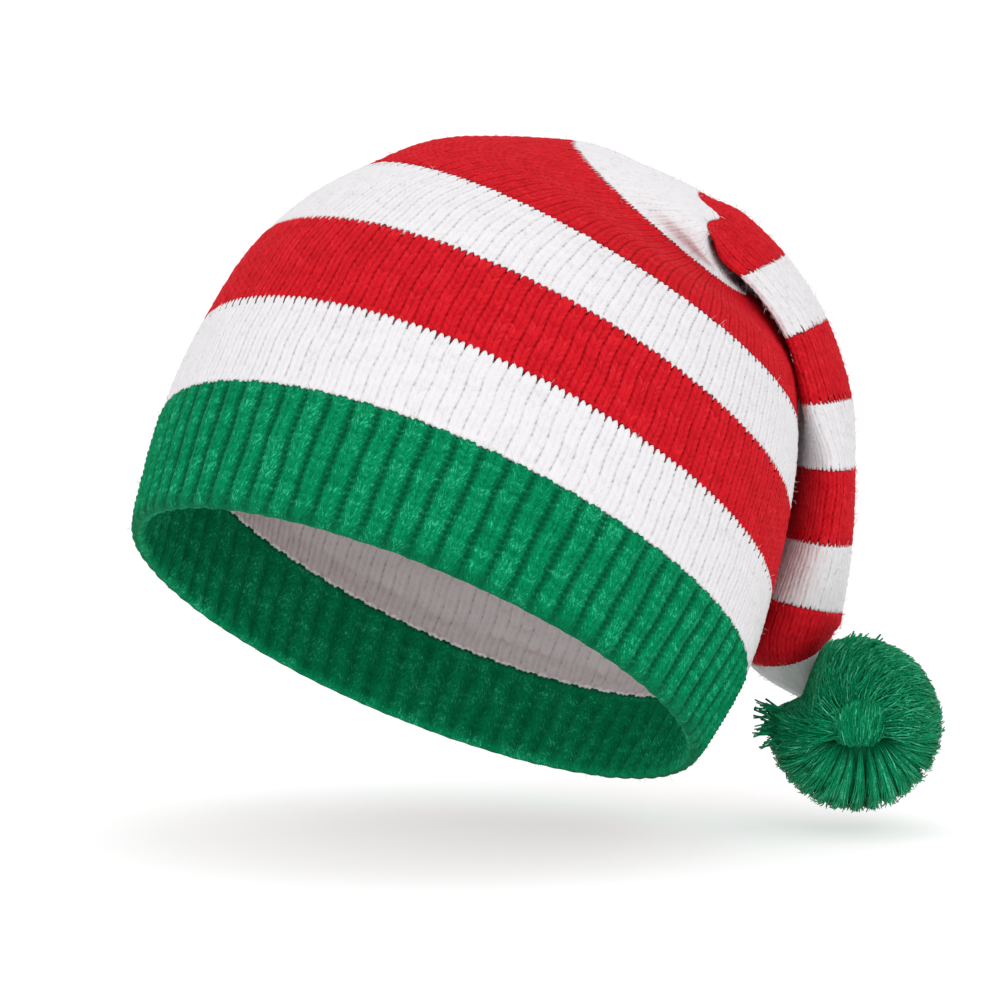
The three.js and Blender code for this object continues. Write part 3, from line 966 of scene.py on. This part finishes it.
class Finish:
    """A material whose nodes are all made by one method."""

    def __init__(self, name):
        self.material = bpy.data.materials.new(name)
        self.material.use_nodes = True
        self.tree = self.material.node_tree
        self.shader = next(node for node in self.tree.nodes if node.type == "BSDF_PRINCIPLED")

    def join(self, value, socket):
        """Link a strand to a socket, or set a plain value there."""
        if isinstance(value, Strand):
            self.tree.links.new(value.socket, socket)
        else:
            socket.default_value = value

    def node(self, kind, settings=None, inputs=None, output=0):
        """A node with its settings and inputs, as a strand from one of its outputs."""
        made = self.tree.nodes.new(kind)
        for name, value in (settings or {}).items():
            setattr(made, name, value)
        for name, value in (inputs or {}).items():
            self.join(value, made.inputs[name])
        return Strand(self, made.outputs[output])

    def value(self, name, output="Fac"):
        """A value that the mesh holds at its points."""
        return self.node("ShaderNodeAttribute", {"attribute_name": name}, output=output)

    def noise(self, place, scale):
        """Soft noise about 0, at most 0.5 to each side."""
        return self.node("ShaderNodeTexNoise", None, {"Vector": place, "Scale": scale}, "Fac") - 0.5

    def within(self, value, low, high):
        """A smooth step from 0 at low to 1 at high."""
        settings = {"interpolation_type": "SMOOTHSTEP"}
        return self.node("ShaderNodeMapRange", settings, {"Value": value, "From Min": low, "From Max": high})

    def mix(self, factor, first, second):
        """Two colours mixed, the second by its factor."""
        return self.node("ShaderNodeMix", {"data_type": "RGBA"}, {0: factor, 6: first, 7: second}, 2)

    def set(self, name, value):
        """Link or set an input of the shader."""
        self.join(value, self.shader.inputs[name])


def shade(red, green, blue):
    """A colour given in screen values from 0 to 255."""
    parts = np.array([red, green, blue]) / 255
    linear = np.where(parts <= 0.04045, parts / 12.92, ((parts + 0.055) / 1.055) ** 2.4)
    return (*linear.tolist(), 1.0)


# Shades of each yarn: painted shadow in a slit at an edge, painted shade in a gap between stitches, painted
# shade in the hollows of the knit, body, and painted glints on raised fibres.
SHADE_NAMES = ("slit", "gap", "deep", "yarn", "glint")
SHADE_ROWS = {
    "green": ((0, 40, 24), (0, 60, 36), (0, 76, 46), (0, 132, 84), (60, 198, 144)),
    "white": ((92, 86, 88), (182, 180, 182), (200, 198, 200), (222, 220, 222), (239, 237, 239)),
    "red": ((78, 0, 10), (142, 0, 14), (160, 2, 16), (203, 18, 32), (230, 56, 66)),
    "pompom": ((0, 30, 18), (0, 48, 30), (0, 92, 58), (0, 142, 91), (96, 214, 164)),
}
YARN_SHADES = {
    yarn: {name: shade(*parts) for name, parts in zip(SHADE_NAMES, rows)}
    for yarn, rows in SHADE_ROWS.items()
}
# Scales of the noise: streaks to the millimetre of yarn, specks and clouds to the metre.
STREAK_SCALE = 2.4
SPECK_SCALE = 2200.0
CLOUD_SCALE = 28.0
# Shares of streaks, specks and clouds in the painted shade of the hollows, the tone, the painted shade of
# the gaps, the roughness and the bump.
DEPTH_STREAK = 0.2
DEPTH_SPECK = 0.15
TONE_CLOUD = 0.15
TONE_SPECK = 0.6
GAP_STREAK = 0.3
ROUGH_SPECK = 0.2
BUMP_SPECK = 0.5
BUMP_STRENGTH = 0.5
BUMP_DISTANCE = 0.3
# Tones that darken a stitch or give it a painted glint, and strengths at which the painted shade of a gap or
# the painted shadow of a slit sets in.
DARK_TONES = (0.0, -0.35)
DARK_SHARE = 0.7
BRIGHT_TONES = (0.05, 0.4)
OPEN_GAP = (0.25, 0.95)
OPEN_SLIT = (0.7, 1.3)


def yarn_finish(shades, name, relief_shade_range, streak_share, tone_share, glint_share, roughness, shine):
    """Spun yarn: painted shade in hollows and between stitches, a tone for each stitch, streaks along fibres
    and painted glints.
    """
    finish = Finish(name)
    place = finish.node("ShaderNodeTexCoord", output="Object")
    streak = finish.noise(finish.value("lay", "Vector"), STREAK_SCALE)
    speck = finish.noise(place, SPECK_SCALE)
    cloud = finish.noise(place, CLOUD_SCALE)
    relief_shade = finish.value("relief_shade") + streak * DEPTH_STREAK + speck * DEPTH_SPECK
    # Painted shade: where the knit lies low, the yarn mixes towards its deep shade.
    depth = finish.within(relief_shade, *relief_shade_range)
    body = finish.mix(depth, shades["deep"], shades["yarn"])
    stitch_tone = (finish.value("tone") - 0.5) * tone_share
    tone = stitch_tone + cloud * TONE_CLOUD + streak * streak_share + speck * TONE_SPECK
    darker = finish.mix(finish.within(tone, *DARK_TONES) * DARK_SHARE, body, shades["deep"])
    # Painted glints: bright tones on raised yarn mix towards the glint shade.
    bright = finish.within(tone, *BRIGHT_TONES) * depth * glint_share
    lighter = finish.mix(bright, darker, shades["glint"])
    # Painted shade in the gaps and painted shadow in the slits.
    gap_shade = finish.value("gap_shade")
    gapped = finish.mix(finish.within(gap_shade + streak * GAP_STREAK, *OPEN_GAP), lighter, shades["gap"])
    finish.set("Base Color", finish.mix(finish.within(gap_shade, *OPEN_SLIT), gapped, shades["slit"]))
    finish.set("Roughness", roughness + speck * ROUGH_SPECK)
    fibres = streak + speck * BUMP_SPECK
    depths = {"Strength": BUMP_STRENGTH, "Distance": BUMP_DISTANCE * MM, "Height": fibres}
    finish.set("Normal", finish.node("ShaderNodeBump", None, depths, "Normal"))
    finish.set("Specular IOR Level", shine)
    return finish.material


FINISH_COLUMNS = ("name", "relief_shade_range", "streak_share", "tone_share", "glint_share", "roughness", "shine")
FINISH_ROWS = {
    "green": ("green_rib_yarn", (0.0, 1.05), 1.15, 0.2, 0.9, 0.8, 0.04),
    "white": ("white_knit_yarn", (0.1, 0.8), 0.4, 0.2, 0.5, 0.9, 0.12),
    "red": ("red_knit_yarn", (0.3, 0.95), 1.0, 0.25, 0.6, 0.85, 0.12),
    "pompom": ("green_pompom_yarn", (0.0, 0.8), 0.8, 0.45, 0.9, 0.6, 0.07),
}
FINISHES = {
    yarn: yarn_finish(YARN_SHADES[yarn], **dict(zip(FINISH_COLUMNS, row)))
    for yarn, row in FINISH_ROWS.items()
}


# Pieces

SEED = 20
POMPOM_SEED = 70

knit_object("cuff", cuff_patch(STRIPES[0], np.random.default_rng(SEED)), FINISHES["green"], "green_knit")
below = CUFF
for number, (stripe, above) in enumerate(zip(STRIPES, STRIPES[1:] + [None]), start=1):
    patch = stripe_patch(stripe, number, below, above, np.random.default_rng(SEED + number))
    knit_object(stripe["name"], patch, FINISHES[stripe["yarn"]], stripe["yarn"] + "_knit")
    below = stripe
pompom_strands = pompom_patch(np.random.default_rng(POMPOM_SEED))
knit_object("pompom", pompom_strands, FINISHES["pompom"], "green_cut_yarn")


# Stage, light and camera

WORLD_STRENGTH = 0.98
FLOOR_ALBEDO = 0.54
FLOOR_GLOW = 0.51
FLOOR_ROUGHNESS = 0.9
FLOOR_SHINE = 0.1
FLOOR_PINHOLE = 0.01
STAGE_RADIUS = 3600.0
STAGE_RIM = 1500.0
STAGE_STEPS = 12
STAGE_SIDES = 96
# Lamps: name, place, what it is turned to, size of its square, and power in watts.
LAMP_ROWS = [
    ("key_lamp", (700, -1200, 700), (60, 20, 50), 900, 2.5),
    ("mouth_lamp", (-300, -1300, 150), (0, 0, 20), 700, 3.4),
    ("top_lamp", (60, 60, 1500), (30, 30, 0), 700, 3),
]


def stage_sweep():
    """A pale round floor that sweeps up all round, far from the hat."""
    turn = np.linspace(0, np.pi / 2, STAGE_STEPS)
    reach = np.concatenate([[FLOOR_PINHOLE], STAGE_RADIUS + STAGE_RIM * np.sin(turn)])
    height = np.concatenate([[0.0], STAGE_RIM * (1 - np.cos(turn))])
    angle = 2 * np.pi * np.arange(STAGE_SIDES) / STAGE_SIDES
    points = np.stack([
        reach[:, None] * np.cos(angle),
        reach[:, None] * np.sin(angle),
        (height + FLOOR_HEIGHT)[:, None] * np.ones(STAGE_SIDES),
    ], -1)
    i, j = np.meshgrid(np.arange(len(reach) - 1), np.arange(STAGE_SIDES), indexing="ij")
    k = (j + 1) % STAGE_SIDES
    low_row = i * STAGE_SIDES
    high_row = low_row + STAGE_SIDES
    faces = np.stack([low_row + j, high_row + j, high_row + k, low_row + k], -1)
    mesh = bpy.data.meshes.new("floor")
    mesh.from_pydata((points.reshape(-1, 3) * MM).tolist(), [], faces.reshape(-1, 4).tolist())
    mesh.polygons.foreach_set("use_smooth", np.ones(len(mesh.polygons), bool))
    finish = Finish("pale_floor")
    finish.set("Base Color", (FLOOR_ALBEDO, FLOOR_ALBEDO, FLOOR_ALBEDO, 1))
    finish.set("Emission Color", (1, 1, 1, 1))
    finish.set("Emission Strength", FLOOR_GLOW)
    finish.set("Roughness", FLOOR_ROUGHNESS)
    finish.set("Specular IOR Level", FLOOR_SHINE)
    mesh.materials.append(finish.material)
    floor = bpy.data.objects.new("floor", mesh)
    bpy.context.scene.collection.objects.link(floor)


def soft_lamp(name, place, aim, size, power):
    """A square soft box at a place, turned to what it lights."""
    light = bpy.data.lights.new(name, "AREA")
    light.shape = "SQUARE"
    light.size = size * MM
    light.energy = power
    lamp = bpy.data.objects.new(name, light)
    lamp.location = [part * MM for part in place]
    way = np.array(aim) - np.array(place)
    flat = math.hypot(way[0], way[1])
    lamp.rotation_euler = (math.atan2(flat, -way[2]), 0, math.atan2(way[1], way[0]) - math.pi / 2)
    bpy.context.scene.collection.objects.link(lamp)


def photo_camera():
    """The camera at the height and distance of the view."""
    lens = bpy.data.cameras.new("view")
    lens.sensor_width = CAMERA_SENSOR
    lens.lens = CAMERA_LENS
    lens.clip_end = CAMERA_CLIP * MM
    camera = bpy.data.objects.new("view", lens)
    lift = math.radians(CAMERA_ELEVATION)
    x, y, z = CAMERA_TARGET
    camera.location = (
        x * MM,
        (y - CAMERA_DISTANCE * math.cos(lift)) * MM,
        (z + CAMERA_DISTANCE * math.sin(lift)) * MM,
    )
    camera.rotation_euler = (math.pi / 2 - lift, 0, 0)
    bpy.context.scene.collection.objects.link(camera)
    bpy.context.scene.camera = camera


def studio_world():
    """Even white light from all round."""
    world = bpy.data.worlds.new("studio")
    world.use_nodes = True
    sky = next(node for node in world.node_tree.nodes if node.type == "BACKGROUND")
    sky.inputs["Color"].default_value = (1, 1, 1, 1)
    sky.inputs["Strength"].default_value = WORLD_STRENGTH
    bpy.context.scene.world = world


stage_sweep()
studio_world()
for lamp_row in LAMP_ROWS:
    soft_lamp(*lamp_row)
photo_camera()
bpy.context.scene.view_settings.view_transform = "Standard"
